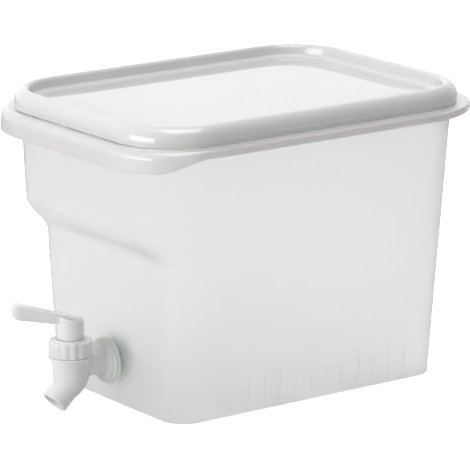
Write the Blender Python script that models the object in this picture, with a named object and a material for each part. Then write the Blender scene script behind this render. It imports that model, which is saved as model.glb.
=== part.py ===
"""Refrigerator drink dispenser: a drafted tub with a hand grip, a snap-over lid and a quarter-turn tap.

Metres, +Z up. The tap is at the front, towards -Y. The dispenser stands on Z = 0.
"""

import math
from collections import namedtuple

import bmesh
import bpy
from mathutils import Matrix, Vector

# Overall height, to the lid's crest
lid_top = 0.2000

# Fit
seat = 0.0003
overrun = 0.002
merge_distance = 0.000001

# Tub wall: distances from the upright axis through the origin
foot_half_width = 0.0757
foot_front = 0.0879
foot_back = 0.1266
foot_corner = 0.0176
foot_edge = 0.0005
mouth_half_width = 0.0915
mouth_front = 0.1112
mouth_back = 0.1406
mouth_front_corner = 0.0330
mouth_back_corner = 0.0342
waist_front = 0.0909
waist_corner = 0.0217
waist_height = 0.1018
nose_front = 0.1079
nose_corner = 0.0280
nose_height = 0.1260
wall = 0.0022
floor_thickness = 0.0030
floor_fillet = 0.0060

# The nose carries on along the long sides as a shallow swell that runs out towards the back
swell_depth = 0.0026
swell_end = 0.0170
swell_end_height = 0.1110
swell_end_band = 0.0080

# Rim: the lid's crest line is the curve that the flange, the grip and the lid are measured from
crest_half_width = 0.0914
crest_front = 0.1104
crest_back = 0.1390
crest_corner = 0.0396
flange_drop = 0.0130
flange_reach = 0.0160
flange_plate = 0.0022
flange_fillet = 0.0015
lip = 0.0020
side_lip_depth = 0.0052
rear_lip_depth = 0.0042
grip_depth = 0.0143
grip_flare = 0.0006
grip_shoulder = 0.0060
side_shoulder = 0.0015
lip_fillet = 0.0003
rim_drop = 0.0044
rim_half_thickness = 0.0010
rim_corner = 0.0345
grip_start_share = 0.20
grip_full_share = 0.77

# Ribs at the foot of the long sides
rib_count = 13
rib_pitch = 0.01284
rib_foot = 0.0030
rib_crown = 0.0010
rib_height = 0.0270
rib_depth = 0.0008
rib_root = 0.0010
rib_sink = 0.0002

# Lid
lid_wall = 0.0018
lid_overhang = 0.0076
lid_skirt = 0.0027
crest_roll = 0.0026
well_depth = 0.0066
well_batter = 0.0012
ledge_width = 0.0020
ledge_fillet = 0.0006
moat_slope_width = 0.0022
moat_depth = 0.0010
moat_width = 0.0060
panel_edge = 0.0018
panel_rise = 0.0005
panel_crown = 0.0006
locator_stand = 0.0010
locator_gap = 0.0006
gate_radius = 0.0024
gate_height = 0.0005

# Tap: places are measured from the spindle's axis and from the inlet's height
spindle_front = 0.1192
inlet_height = 0.0281
lever_turn = math.radians(26)
inlet_radius = 0.0081
inlet_bore = 0.0050
thread_radius = 0.0080
tail_reach = 0.0030
boss_radius = 0.0172
boss_rise = 0.0009
boss_backing = 0.0010
hole_clearance = 0.0003
flange_radius = 0.0150
flange_rim = 0.0013
flange_step_radius = 0.0136
flange_step = 0.0016
flange_cone = 0.0014
washer_radius = 0.0156
washer_thickness = 0.0022
inner_washer_radius = 0.0135
inner_washer_thickness = 0.0020
nut_flats = 0.0245
nut_height = 0.0060
nut_flange_radius = 0.0150
nut_flange = 0.0016

barrel_radius = 0.0124
barrel_foot_radius = 0.0116
barrel_foot = -0.0073
spout_radius = 0.0093
spout_bore = 0.0068
spout_tilt = math.radians(47)
spout_run = 0.0113
spout_edge = 0.0018
ring_radius = 0.0145
ring_bottom = 0.0067
ring_thickness = 0.0015
neck_radius = 0.0126
neck_top = 0.0148
chamber_radius = 0.00875
chamber_floor = -0.0079

collar_radius = 0.01445
collar_bottom = 0.0085
collar_top = 0.0189
collar_plate = 0.0017
collar_chamfer = 0.0013
collar_ring_radius = 0.0113
collar_ring_height = 0.0008
flute_count = 15
flute_depth = 0.0004
flute_radius = 0.0070

plug_clearance = 0.0003
plug_bore = 0.0060
plug_bore_top = 0.0055
port_radius = 0.0038
groove_bottom = 0.0092
groove_height = 0.0024
groove_depth = 0.0020
plug_shoulder_radius = 0.0108
plug_shoulder = 0.0018
stem_radius = 0.0070
tongue = 0.0070
tongue_height = 0.0080

hub_radius = 0.00895
hub_height = 0.0145
hub_edge = 0.0010
lever_reach = 0.0383
lever_heel = 0.0062
lever_width = 0.0097
lever_edge = 0.0014
lever_root_height = 0.0059
lever_tip_height = 0.0107
lever_stand = 0.0004
lever_rise = 0.0105
lever_tip_run = 0.0048
lever_tip_round = 0.0026

# Facets
corner_steps = 7
end_steps = 2
side_steps = 8
turn_steps = 28
seal_steps = 6
collar_steps = 60
flute_steps = 12

Plan = namedtuple("Plan", "half_width front back front_corner back_corner")

flange_top = lid_top - flange_drop
rim_top = lid_top - rim_drop
shoulder_height = flange_drop - seat - lid_skirt
crest_plan = Plan(crest_half_width, crest_front, crest_back, crest_corner, crest_corner)
rim_plan = crest_plan._replace(front_corner=rim_corner, back_corner=rim_corner)


def mix(first, last, share):
    return first + (last - first) * share


def ramp(share):
    """Ease from 0 to 1, level at both ends."""
    share = min(max(share, 0), 1)
    return share * share * (3 - 2 * share)


def arc(start, end, steps):
    """Angles from start to end, both included."""
    return [mix(start, end, step / steps) for step in range(steps + 1)]


def outline(plan, grow=0):
    """Rounded rectangle as (x, y, facing) points, anticlockwise from the middle of the right side."""
    half_width = plan.half_width + grow
    front = plan.front + grow
    back = plan.back + grow
    front_corner = plan.front_corner + grow
    back_corner = plan.back_corner + grow
    corners = (
        (half_width - back_corner, back - back_corner, back_corner, end_steps),
        (back_corner - half_width, back - back_corner, back_corner, side_steps),
        (front_corner - half_width, front_corner - front, front_corner, end_steps),
        (half_width - front_corner, front_corner - front, front_corner, side_steps),
    )
    points = []
    for index, (x, y, radius, steps_after) in enumerate(corners):
        start = index * math.pi / 2
        for angle in arc(start, start + math.pi / 2, corner_steps):
            points.append((x + radius * math.cos(angle), y + radius * math.sin(angle), angle))
        next_x, next_y, next_radius, _ = corners[(index + 1) % len(corners)]
        end = points[-1]
        angle = start + math.pi / 2
        target_x = next_x + next_radius * math.cos(angle)
        target_y = next_y + next_radius * math.sin(angle)
        for step in range(1, steps_after):
            share = step / steps_after
            points.append((mix(end[0], target_x, share), mix(end[1], target_y, share), angle))
    return points


def section(plan, grow, height):
    """Points of an outline at one height, or at a height worked out for each facing."""
    level = height if callable(height) else lambda facing: height
    return [Vector((x, y, level(facing))) for x, y, facing in outline(plan, grow)]


def circle_section(radius, height, centre_y=0):
    """Small circle with as many points as an outline has."""
    points = []
    for x, y, facing in outline(crest_plan):
        angle = math.atan2(y - (crest_back - crest_front) / 2, x)
        points.append(Vector((radius * math.cos(angle), centre_y + radius * math.sin(angle), height)))
    return points


def loft(sections):
    """Closed mesh skinned over a stack of outlines, with both ends filled."""
    mesh = bmesh.new()
    rings = [[mesh.verts.new(point) for point in points] for points in sections]
    for lower, upper in zip(rings, rings[1:]):
        for index, start in enumerate(lower):
            after = (index + 1) % len(lower)
            mesh.faces.new((start, lower[after], upper[after], upper[index]))
    mesh.faces.new(list(reversed(rings[0])))
    mesh.faces.new(rings[-1])
    bmesh.ops.recalc_face_normals(mesh, faces=mesh.faces)
    return mesh


def turned(profile, steps=turn_steps):
    """Closed mesh turned about Z from a closed outline of (radius, height) points."""
    mesh = bmesh.new()
    points = [mesh.verts.new((radius, 0, height)) for radius, height in profile]
    edges = []
    for start, end in zip(points, points[1:] + points[:1]):
        if start.co.x > 0 or end.co.x > 0:
            edges.append(mesh.edges.new((start, end)))
    bmesh.ops.spin(mesh, geom=points + edges, cent=(0, 0, 0), axis=(0, 0, 1),
                   angle=2 * math.pi, steps=steps)
    bmesh.ops.remove_doubles(mesh, verts=mesh.verts, dist=merge_distance)
    bmesh.ops.recalc_face_normals(mesh, faces=mesh.faces)
    return mesh


def prism(points, bottom, top):
    """Closed upright mesh over an outline of (x, y) points."""
    return loft([[Vector((x, y, bottom)) for x, y in points], [Vector((x, y, top)) for x, y in points]])


def material(name, colour, roughness, alpha=1.0):
    surface = bpy.data.materials.new(name)
    surface.use_nodes = True
    shader = surface.node_tree.nodes["Principled BSDF"]
    shader.inputs["Base Color"].default_value = (*colour, 1.0)
    shader.inputs["Roughness"].default_value = roughness
    shader.inputs["Metallic"].default_value = 0.0
    shader.inputs["Alpha"].default_value = alpha
    return surface


def piece(name, mesh, surface, parent=None):
    """Named object that holds a finished mesh."""
    data = bpy.data.meshes.new(name)
    mesh.to_mesh(data)
    mesh.free()
    data.materials.append(surface)
    data.shade_smooth()
    data.set_sharp_from_angle(angle=math.radians(35))
    made = bpy.data.objects.new(name, data)
    bpy.context.collection.objects.link(made)
    made.parent = parent
    return made


def tool(name, mesh, parent=None):
    """Hidden solid that another piece is cut with or joined to."""
    made = piece(name, mesh, bpy.data.materials.get("tool") or bpy.data.materials.new("tool"), parent)
    made.hide_render = True
    made.display_type = "WIRE"
    return made


def combine(target, other, operation):
    """Cut or join with a Boolean that stays on the target."""
    boolean = target.modifiers.new(other.name, "BOOLEAN")
    boolean.operation = operation
    boolean.solver = "EXACT"
    boolean.object = other


def along_y(forward):
    """Turn that lays a solid's Z axis along Y, towards the front or the back."""
    return Matrix.Rotation(math.pi / 2 if forward else -math.pi / 2, 4, "X")


def wall_plan(height):
    """Outer face of the tub's wall at one height."""
    share = height / flange_top
    if height < waist_height:
        rise = height / waist_height
        front = mix(foot_front, waist_front, rise)
        front_corner = mix(foot_corner, waist_corner, rise)
    elif height < nose_height:
        rise = ramp((height - waist_height) / (nose_height - waist_height))
        front = mix(waist_front, nose_front, rise)
        front_corner = mix(waist_corner, nose_corner, rise)
    else:
        rise = (height - nose_height) / (flange_top - nose_height)
        front = mix(nose_front, mouth_front, rise)
        front_corner = mix(nose_corner, mouth_front_corner, rise)
    return Plan(mix(foot_half_width, mouth_half_width, share), front, mix(foot_back, mouth_back, share),
                front_corner, mix(foot_corner, mouth_back_corner, share))


def swell(y, height):
    """How far the long side stands out above the nose's crease, running out towards the back."""
    start = -nose_front
    along = (y - start) / (-swell_end - start)
    fade = 1 - ramp(along)
    share = min(max(along, 0), 1)
    top = mix(nose_height, swell_end_height + swell_end_band / 2, share)
    band = mix(nose_height - waist_height, swell_end_band, share)
    rise = ramp((height - (top - band)) / band)
    runout = 1 - ramp((height - nose_height) / (flange_top - flange_plate - nose_height))
    return swell_depth * fade * rise * runout


def wall_section(height, inset=0):
    """Outline of the tub's wall, or of its inner face, at one height."""
    points = []
    for x, y, facing in outline(wall_plan(height), -inset):
        points.append(Vector((x + swell(y, height) * math.cos(facing), y, height)))
    return points


def grip_share(facing):
    """1 where the rim turns down as the hand grip, 0 along the sides and the back."""
    forward = -math.sin(facing)
    return ramp((forward - grip_start_share) / (grip_full_share - grip_start_share))


def lip_bottom(facing):
    depth = mix(side_lip_depth, rear_lip_depth, ramp(math.sin(facing)))
    return flange_top - mix(depth, grip_depth, grip_share(facing))


def rim_section(reach, level):
    """Ring of the flange: reach and level are worked out for each facing."""
    points = []
    for (x, y, facing), (base_x, base_y, _) in zip(outline(crest_plan, flange_reach), outline(crest_plan)):
        share = reach(facing) / flange_reach
        points.append(Vector((mix(base_x, x, share), mix(base_y, y, share), level(facing))))
    return points


def shoulder_radius(facing):
    return mix(side_shoulder, grip_shoulder, grip_share(facing))


def inner_shoulder_radius(facing):
    return max(shoulder_radius(facing) - lip, lip_fillet)


def tub_sections():
    """Rings from under the foot, up the outside, over the rim and down the inside to the floor."""
    sections = []
    for angle in arc(0, math.pi / 2, 2):
        height = foot_edge * (1 - math.cos(angle))
        sections.append(wall_section(height, foot_edge * (1 - math.sin(angle))))
    sections.append(wall_section(rib_height))
    sections.append(wall_section(mix(rib_height, waist_height, 0.5)))
    nose_shares = [0, 0.14, 0.28, 0.42, 0.58, 0.72, 0.86, 1]
    nose = [mix(waist_height, nose_height, share) for share in nose_shares]
    sections += [wall_section(height) for height in nose]
    underside = flange_top - flange_plate
    sections.append(wall_section(mix(nose_height, underside, 0.5)))
    sections.append(wall_section(underside - flange_fillet))
    sections.append(section(wall_plan(flange_top), flange_fillet, underside))

    inside = flange_reach - lip
    for angle in arc(math.pi / 2, 0, 2):
        sections.append(rim_section(
            lambda facing: inside - inner_shoulder_radius(facing) * (1 - math.cos(angle)),
            lambda facing: underside - inner_shoulder_radius(facing) * (1 - math.sin(angle))))
    foot = lip / 4
    sections.append(rim_section(lambda facing: inside + grip_flare * grip_share(facing),
                                lambda facing: lip_bottom(facing) + foot))
    sections.append(rim_section(lambda facing: inside + foot + grip_flare * grip_share(facing), lip_bottom))
    sections.append(rim_section(lambda facing: flange_reach - foot + grip_flare * grip_share(facing), lip_bottom))
    sections.append(rim_section(lambda facing: flange_reach + grip_flare * grip_share(facing),
                                lambda facing: lip_bottom(facing) + foot))
    for angle in arc(0, math.pi / 2, 4):
        sections.append(rim_section(
            lambda facing: flange_reach - shoulder_radius(facing) * (1 - math.cos(angle)),
            lambda facing: flange_top - shoulder_radius(facing) * (1 - math.sin(angle))))

    sections.append(section(rim_plan, rim_half_thickness, flange_top))
    for angle in arc(0, math.pi, 4):
        sections.append(section(rim_plan, rim_half_thickness * math.cos(angle),
                                rim_top - rim_half_thickness * (1 - math.sin(angle))))
    sections.append(section(rim_plan, -rim_half_thickness, flange_top))
    sections.append(wall_section(underside - flange_fillet, wall))
    sections.append(wall_section(mix(nose_height, underside, 0.5), wall))
    sections += [wall_section(height, wall) for height in reversed(nose[1::2])]
    for angle in arc(0, math.pi / 2, 3):
        sections.append(wall_section(floor_thickness + floor_fillet * (1 - math.sin(angle)),
                                     wall + floor_fillet * (1 - math.cos(angle))))
    return sections


def rib_rows():
    """Two rows of upright ribs that sink into the long walls as they rise."""
    mesh = bmesh.new()
    middle = (foot_back - foot_front) / 2
    bottom = foot_edge + seat
    for index in range(2 * rib_count):
        side = 1 if index < rib_count else -1
        y = middle + (index % rib_count - (rib_count - 1) / 2) * rib_pitch
        rings = []
        for height, stand in ((bottom, rib_depth), (bottom + rib_height, -rib_sink)):
            face = wall_plan(height).half_width
            rings.append([mesh.verts.new((side * (face + out), y + across / 2, height))
                          for out, across in ((-rib_root, -rib_foot), (stand, -rib_crown),
                                              (stand, rib_crown), (-rib_root, rib_foot))])
        lower, upper = rings
        for corner, start in enumerate(lower):
            after = (corner + 1) % len(lower)
            mesh.faces.new((start, lower[after], upper[after], upper[corner]))
        mesh.faces.new(list(reversed(lower)))
        mesh.faces.new(upper)
    bmesh.ops.recalc_face_normals(mesh, faces=mesh.faces)
    return mesh


# Heights on the spindle, from the inlet's height
hub_bottom = collar_top + collar_ring_height + seat
hub_top = hub_bottom + hub_height

# Stations along the tap's inlet, as distances in front of the upright axis
boss_face = wall_plan(inlet_height).front + boss_rise
boss_inner_face = wall_plan(inlet_height).front - wall - boss_backing
tap_flange_back = boss_face + washer_thickness + 2 * seat
nut_seat = boss_inner_face - inner_washer_thickness - 2 * seat
tail_end = nut_seat - nut_height - tail_reach


def make_container(surface):
    container = piece("container", loft(tub_sections()), surface)
    boss = tool("tap_boss", turned([(0, 0), (boss_radius, 0), (boss_radius, boss_face - boss_inner_face),
                                    (0, boss_face - boss_inner_face)]))
    boss.matrix_world = Matrix.Translation((0, -boss_inner_face, inlet_height)) @ along_y(True)
    hole_radius = thread_radius + hole_clearance
    hole = tool("tap_hole", turned([(0, 0), (hole_radius, 0), (hole_radius, boss_face - boss_inner_face + 2 * overrun),
                                    (0, boss_face - boss_inner_face + 2 * overrun)]))
    hole.matrix_world = Matrix.Translation((0, overrun - boss_inner_face, inlet_height)) @ along_y(True)
    combine(container, tool("ribs", rib_rows()), "UNION")
    combine(container, boss, "UNION")
    combine(container, hole, "DIFFERENCE")
    return container


def lid_profile():
    """Section of the lid as (growth from the crest line, height), from under the panel to its top."""
    skirt_bottom = flange_top + seat
    shoulder = skirt_bottom + lid_skirt
    floor = lid_top - well_depth
    well_foot = -crest_roll - well_batter
    moat_edge = well_foot - ledge_fillet - ledge_width
    moat_foot = moat_edge - moat_slope_width
    moat_end = moat_foot - moat_width
    panel_start = moat_end - panel_edge
    moat = floor - moat_depth
    locator_out = -rim_half_thickness - locator_gap
    locator_in = locator_out - lid_wall
    locator_bottom = flange_top + locator_stand

    under = [(panel_start, moat + panel_rise - lid_wall), (moat_end, moat - lid_wall),
             (moat_foot, moat - lid_wall), (moat_edge, floor - lid_wall),
             (locator_in, floor - lid_wall), (locator_in, locator_bottom), (locator_out, locator_bottom),
             (locator_out, lid_top - lid_wall - crest_roll)]
    for angle in arc(math.pi / 2, 0, 3):
        under.append(((lid_overhang - lid_wall) * math.cos(angle),
                      shoulder - lid_wall + shoulder_height * math.sin(angle)))
    under.append((lid_overhang - lid_wall, skirt_bottom))
    over = [(lid_overhang, skirt_bottom)]
    for angle in arc(0, math.pi / 2, 5):
        over.append((lid_overhang * math.cos(angle), shoulder + shoulder_height * math.sin(angle)))
    for angle in arc(0, math.pi / 2, 3)[1:]:
        over.append((-crest_roll * math.sin(angle), lid_top - crest_roll * (1 - math.cos(angle))))
    over += [(well_foot, floor + ledge_fillet), (well_foot - ledge_fillet, floor), (moat_edge, floor),
             (moat_foot, moat), (moat_end, moat), (panel_start, moat + panel_rise)]
    return under, over, moat + panel_rise


def make_lid(surface):
    under, over, panel = lid_profile()
    centre = (crest_back - crest_front) / 2
    edge = under[0][0]
    crowned = panel + panel_crown
    sections = [circle_section(gate_radius, crowned - lid_wall, centre)]
    sections += [section(crest_plan, grow, height) for grow, height in under + over]
    middle = [point.lerp(Vector((0, centre, crowned)), 0.5) for point in section(crest_plan, edge, panel)]
    crown = mix(panel, crowned, 0.75)
    sections.append([Vector((point.x, point.y, crown)) for point in middle])
    sections.append(circle_section(gate_radius, crowned, centre))
    sections.append(circle_section(gate_radius, crowned + gate_height, centre))
    return piece("lid", loft(sections), surface)


def tilted_ring(centre_y, centre_z, radius, tilt):
    """Ring square to a path that leans forward by tilt from straight down."""
    ring = []
    for step in range(turn_steps):
        angle = 2 * math.pi * step / turn_steps
        side = radius * math.cos(angle)
        across = radius * math.sin(angle)
        ring.append(Vector((side, centre_y + across * math.cos(tilt), centre_z - across * math.sin(tilt))))
    return ring


def spout_path(shares):
    """Rings of the bend and the straight run, from the mouth up to the barrel.

    The bend turns about the crook at the front of the barrel's foot.
    """
    crook_y = -barrel_foot_radius
    crook_z = barrel_foot
    stations = []
    for share in shares:
        tilt = spout_tilt * share
        reach = mix(barrel_foot_radius, spout_radius, share)
        stations.append((crook_y + reach * math.cos(tilt), crook_z - reach * math.sin(tilt), tilt))
    end_y, end_z, _ = stations[-1]
    mouth_y = end_y - spout_run * math.sin(spout_tilt)
    mouth_z = end_z - spout_run * math.cos(spout_tilt)
    return mouth_y, mouth_z, stations


def make_tap_body(surface, parent):
    bend_shares = [0, 0.2, 0.4, 0.6, 0.8, 1]
    mouth_y, mouth_z, bend = spout_path(bend_shares)
    rings = []
    for angle in arc(0, math.pi / 2, 2):
        back = spout_edge * (1 - math.sin(angle))
        rings.append(tilted_ring(mouth_y + (spout_edge - back) * math.sin(spout_tilt),
                                 mouth_z + (spout_edge - back) * math.cos(spout_tilt),
                                 spout_radius - spout_edge * math.cos(angle), spout_tilt))
    for share, (y, z, tilt) in reversed(list(zip(bend_shares, bend))):
        rings.append(tilted_ring(y, z, mix(barrel_foot_radius, spout_radius, share), tilt))
    for radius, height in ((barrel_radius, ring_bottom), (ring_radius, ring_bottom),
                           (ring_radius, ring_bottom + ring_thickness),
                           (neck_radius, ring_bottom + ring_thickness), (neck_radius, neck_top)):
        rings.append(tilted_ring(0, height, radius, 0))
    body = piece("tap_body", loft(rings), surface, parent)

    flange_front = spindle_front - tap_flange_back
    profile = [(0, 0), (thread_radius, 0)]
    flange_at = tap_flange_back - tail_end
    profile += [(thread_radius, flange_at), (flange_radius, flange_at), (flange_radius, flange_at + flange_rim),
                (flange_step_radius, flange_at + flange_rim),
                (flange_step_radius, flange_at + flange_rim + flange_step),
                (inlet_radius, flange_at + flange_rim + flange_step + flange_cone),
                (inlet_radius, flange_at + flange_front), (0, flange_at + flange_front)]
    inlet = tool("inlet", turned(profile), parent)
    inlet.matrix_local = Matrix.Translation((0, spindle_front - tail_end, 0)) @ along_y(True)
    combine(body, inlet, "UNION")

    bore = [tilted_ring(mouth_y - overrun * math.sin(spout_tilt), mouth_z - overrun * math.cos(spout_tilt),
                        spout_bore, spout_tilt)]
    for y, z, tilt in reversed(bend):
        bore.append(tilted_ring(y, z, spout_bore, tilt))
    bore.append(tilted_ring(0, ring_bottom, spout_bore, 0))
    combine(body, tool("spout_bore", loft(bore), parent), "DIFFERENCE")
    chamber = tool("plug_chamber", turned([(0, chamber_floor), (chamber_radius, chamber_floor),
                                           (chamber_radius, neck_top + overrun), (0, neck_top + overrun)]), parent)
    combine(body, chamber, "DIFFERENCE")
    bore_length = spindle_front - tail_end + overrun
    inlet_cut = tool("inlet_bore", turned([(0, 0), (inlet_bore, 0), (inlet_bore, bore_length), (0, bore_length)]),
                     parent)
    inlet_cut.matrix_local = Matrix.Translation((0, bore_length, 0)) @ along_y(True)
    combine(body, inlet_cut, "DIFFERENCE")
    return body


def make_collar(surface, parent):
    """Fluted nut that screws over the neck and holds the plug down."""
    inner = neck_radius + seat
    hole = stem_radius + seat
    plate_bottom = collar_top - collar_plate
    ring_top = collar_top + collar_ring_height
    profile = [(inner, collar_bottom), (collar_radius, collar_bottom),
               (collar_radius, collar_top - collar_chamfer), (collar_radius - collar_chamfer, collar_top),
               (collar_ring_radius, collar_top), (collar_ring_radius, ring_top), (hole, ring_top),
               (hole, plate_bottom), (inner, plate_bottom)]
    collar = piece("tap_collar", turned(profile, collar_steps), surface, parent)
    flutes = bmesh.new()
    for index in range(flute_count):
        angle = 2 * math.pi * (index + 0.5) / flute_count
        place = collar_radius + flute_radius - flute_depth
        flute = turned([(0, collar_bottom - overrun), (flute_radius, collar_bottom - overrun),
                        (flute_radius, collar_top + overrun), (0, collar_top + overrun)], flute_steps)
        flute.transform(Matrix.Translation((place * math.cos(angle), place * math.sin(angle), 0)))
        data = bpy.data.meshes.new("flute")
        flute.to_mesh(data)
        flute.free()
        flutes.from_mesh(data)
        bpy.data.meshes.remove(data)
    combine(collar, tool("collar_flutes", flutes, parent), "DIFFERENCE")
    return collar


def make_plug(surface, parent):
    """Hollow plug with one side port, a seal groove, a shoulder and a square tongue."""
    radius = chamber_radius - plug_clearance
    bottom = chamber_floor + seat
    shoulder = neck_top + seat
    stem_top = collar_top + collar_ring_height
    groove_top = groove_bottom + groove_height
    profile = [(plug_bore, bottom), (radius, bottom), (radius, groove_bottom),
               (radius - groove_depth, groove_bottom), (radius - groove_depth, groove_top), (radius, groove_top),
               (radius, shoulder), (plug_shoulder_radius, shoulder),
               (plug_shoulder_radius, shoulder + plug_shoulder), (stem_radius, shoulder + plug_shoulder),
               (stem_radius, stem_top), (0, stem_top), (0, plug_bore_top), (plug_bore, plug_bore_top)]
    plug = piece("tap_plug", turned(profile), surface, parent)
    half = tongue / 2
    square = prism([(-half, -half), (half, -half), (half, half), (-half, half)],
                   stem_top - plug_shoulder, stem_top + tongue_height)
    combine(plug, tool("plug_tongue", square, parent), "UNION")
    port = tool("plug_port", turned([(0, 0), (port_radius, 0), (port_radius, radius + overrun),
                                     (0, radius + overrun)]), parent)
    port.matrix_local = Matrix.Rotation(-math.pi / 2, 4, "Y")
    combine(plug, port, "DIFFERENCE")
    return plug


def rounded_box_ring(width, height, edge, y, z, steps=3):
    """Upright ring across the lever, a rectangle with rounded corners about (y, z)."""
    ring = []
    inner_x = width / 2 - edge
    inner_z = height / 2 - edge
    for index, (sign_x, sign_z) in enumerate(((1, -1), (1, 1), (-1, 1), (-1, -1))):
        start = (index - 1) * math.pi / 2
        for angle in arc(start, start + math.pi / 2, steps):
            ring.append(Vector((sign_x * inner_x + edge * math.cos(angle), y,
                                z + sign_z * inner_z + edge * math.sin(angle))))
    return ring


def lever_ring(reach, width, flatten=0):
    """Ring of the lever at one distance from the spindle; flatten draws its height in."""
    along = reach / lever_reach
    height = mix(lever_root_height, lever_tip_height, max(along, 0))
    top = hub_top + lever_stand + lever_rise * along
    return rounded_box_ring(width, height - 2 * flatten, min(lever_edge, width / 4), -reach, top - height / 2)


def make_lever(surface, parent):
    """Sloping hub on the plug's tongue, and a flat lever that rises and deepens towards its tip."""
    profile = [(0, hub_bottom), (hub_radius, hub_bottom)]
    for angle in arc(0, math.pi / 2, 3):
        profile.append((hub_radius - hub_edge * (1 - math.cos(angle)), hub_top - hub_edge * (1 - math.sin(angle))))
    profile.append((0, hub_top))
    hub = turned(profile)
    for vertex in hub.verts:
        if vertex.co.z > hub_bottom + hub_edge:
            vertex.co.z -= vertex.co.y * lever_rise / lever_reach
    lever = piece("tap_lever", hub, surface, parent)

    lever_straight = lever_reach - lever_tip_run
    arm = [lever_ring(-lever_heel, lever_width - lever_edge), lever_ring(lever_edge - lever_heel, lever_width)]
    arm += [lever_ring(mix(0, lever_straight, share), lever_width) for share in (0.25, 0.5, 0.75, 1)]
    for angle in arc(0, math.pi / 2, 5)[1:-1]:
        drawn = (1 - math.cos(angle)) * lever_tip_round
        arm.append(lever_ring(lever_straight + lever_tip_run * math.sin(angle), lever_width * math.cos(angle), drawn))
    arm.append(lever_ring(lever_reach, lever_width / 5, lever_tip_round))
    combine(lever, tool("lever_arm", loft(arm), parent), "UNION")
    half = tongue / 2 + seat
    socket = prism([(-half, -half), (half, -half), (half, half), (-half, half)],
                   hub_bottom - overrun, hub_bottom + tongue_height)
    combine(lever, tool("lever_socket", socket, parent), "DIFFERENCE")
    return lever


def make_plug_seal(surface, parent):
    """O-ring in the plug's groove."""
    outer = chamber_radius - plug_clearance
    inner = outer - groove_depth + seat
    section_radius = (outer - inner) / 2
    middle = groove_bottom + groove_height / 2
    profile = []
    for step in range(seal_steps):
        angle = 2 * math.pi * step / seal_steps
        profile.append(((outer + inner) / 2 + section_radius * math.cos(angle),
                        middle + section_radius * math.sin(angle)))
    return piece("plug_seal", turned(profile), surface, parent)


def make_washer(name, radius, thickness, front, surface):
    """Flat ring round the inlet's thread, standing in front of the given face."""
    hole = thread_radius + hole_clearance
    ring = piece(name, turned([(hole, 0), (radius, 0), (radius, thickness), (hole, thickness)]), surface)
    ring.matrix_world = Matrix.Translation((0, -front, inlet_height)) @ along_y(True)
    return ring


def make_lock_nut(surface):
    """Hexagon nut with a flange, inside the container."""
    hole = thread_radius + hole_clearance
    corner = nut_flats / math.sqrt(3)
    nut = piece("lock_nut", turned([(0, 0), (nut_flange_radius, 0), (nut_flange_radius, nut_flange),
                                    (0, nut_flange)]), surface)
    nut.matrix_world = Matrix.Translation((0, -nut_seat, inlet_height)) @ along_y(False)
    hexagon = [(corner * math.cos(math.pi * side / 3), corner * math.sin(math.pi * side / 3)) for side in range(6)]
    block = tool("nut_hexagon", prism(hexagon, nut_flange / 2, nut_height))
    block.matrix_world = nut.matrix_world
    bore = tool("nut_bore", turned([(0, -overrun), (hole, -overrun), (hole, nut_height + overrun),
                                    (0, nut_height + overrun)]))
    bore.matrix_world = nut.matrix_world
    combine(nut, block, "UNION")
    combine(nut, bore, "DIFFERENCE")
    return nut


def main():
    for leftover in list(bpy.data.objects):
        bpy.data.objects.remove(leftover)
    frosted = material("frosted_plastic", (0.86, 0.87, 0.87), 0.5, 0.6)
    white = material("white_plastic", (0.86, 0.86, 0.86), 0.4)
    natural = material("natural_plastic", (0.78, 0.78, 0.76), 0.5)
    rubber = material("white_rubber", (0.7, 0.7, 0.69), 0.8)

    make_container(frosted)
    make_lid(white)

    tap = bpy.data.objects.new("tap", None)
    bpy.context.collection.objects.link(tap)
    tap.location = (0, -spindle_front, inlet_height)
    spindle = bpy.data.objects.new("spindle", None)
    bpy.context.collection.objects.link(spindle)
    spindle.parent = tap
    spindle.rotation_euler = (0, 0, -lever_turn)

    make_tap_body(white, tap)
    make_collar(white, tap)
    make_plug(natural, spindle)
    make_plug_seal(rubber, spindle)
    make_lever(white, spindle)

    make_washer("outer_washer", washer_radius, washer_thickness, boss_face + seat, rubber)
    make_washer("inner_washer", inner_washer_radius, inner_washer_thickness,
                boss_inner_face - inner_washer_thickness - seat, rubber)
    make_lock_nut(natural)


main()
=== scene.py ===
# %% [markdown]
# # A drink dispenser for the refrigerator
#
# The dispenser is a tall tub of frosted plastic that lets light through, a whiter lid that
# snaps over its rim, and a small white tap with a quarter-turn lever. This notebook dresses
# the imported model: it gives the tub, the lid and the tap finer surfaces and finishes, sets
# the camera and the lamps, and leaves every moving piece on its own body.

# %% Load the frame
import math
from collections import namedtuple

import bmesh
import bpy
import numpy as np
from mathutils import Matrix, Vector


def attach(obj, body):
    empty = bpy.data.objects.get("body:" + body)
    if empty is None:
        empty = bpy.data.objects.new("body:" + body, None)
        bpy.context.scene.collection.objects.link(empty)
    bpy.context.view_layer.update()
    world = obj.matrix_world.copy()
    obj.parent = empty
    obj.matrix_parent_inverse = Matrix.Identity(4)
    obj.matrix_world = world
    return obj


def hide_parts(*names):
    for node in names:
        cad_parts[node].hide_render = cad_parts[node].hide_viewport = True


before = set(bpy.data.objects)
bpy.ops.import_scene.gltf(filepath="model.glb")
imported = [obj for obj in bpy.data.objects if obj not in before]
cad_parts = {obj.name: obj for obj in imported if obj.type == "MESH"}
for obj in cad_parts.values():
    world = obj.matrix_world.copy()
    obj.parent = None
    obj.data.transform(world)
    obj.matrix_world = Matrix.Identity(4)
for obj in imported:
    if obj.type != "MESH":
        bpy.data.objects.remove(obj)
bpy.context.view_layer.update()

# %% [markdown]
# ## The camera
#
# The view comes first, because every later choice is judged through it. The lens is long
# and the camera is far away, so upright edges stay nearly parallel. Its place follows from
# the tub's foot, its silhouette and the lid's crest.

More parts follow.
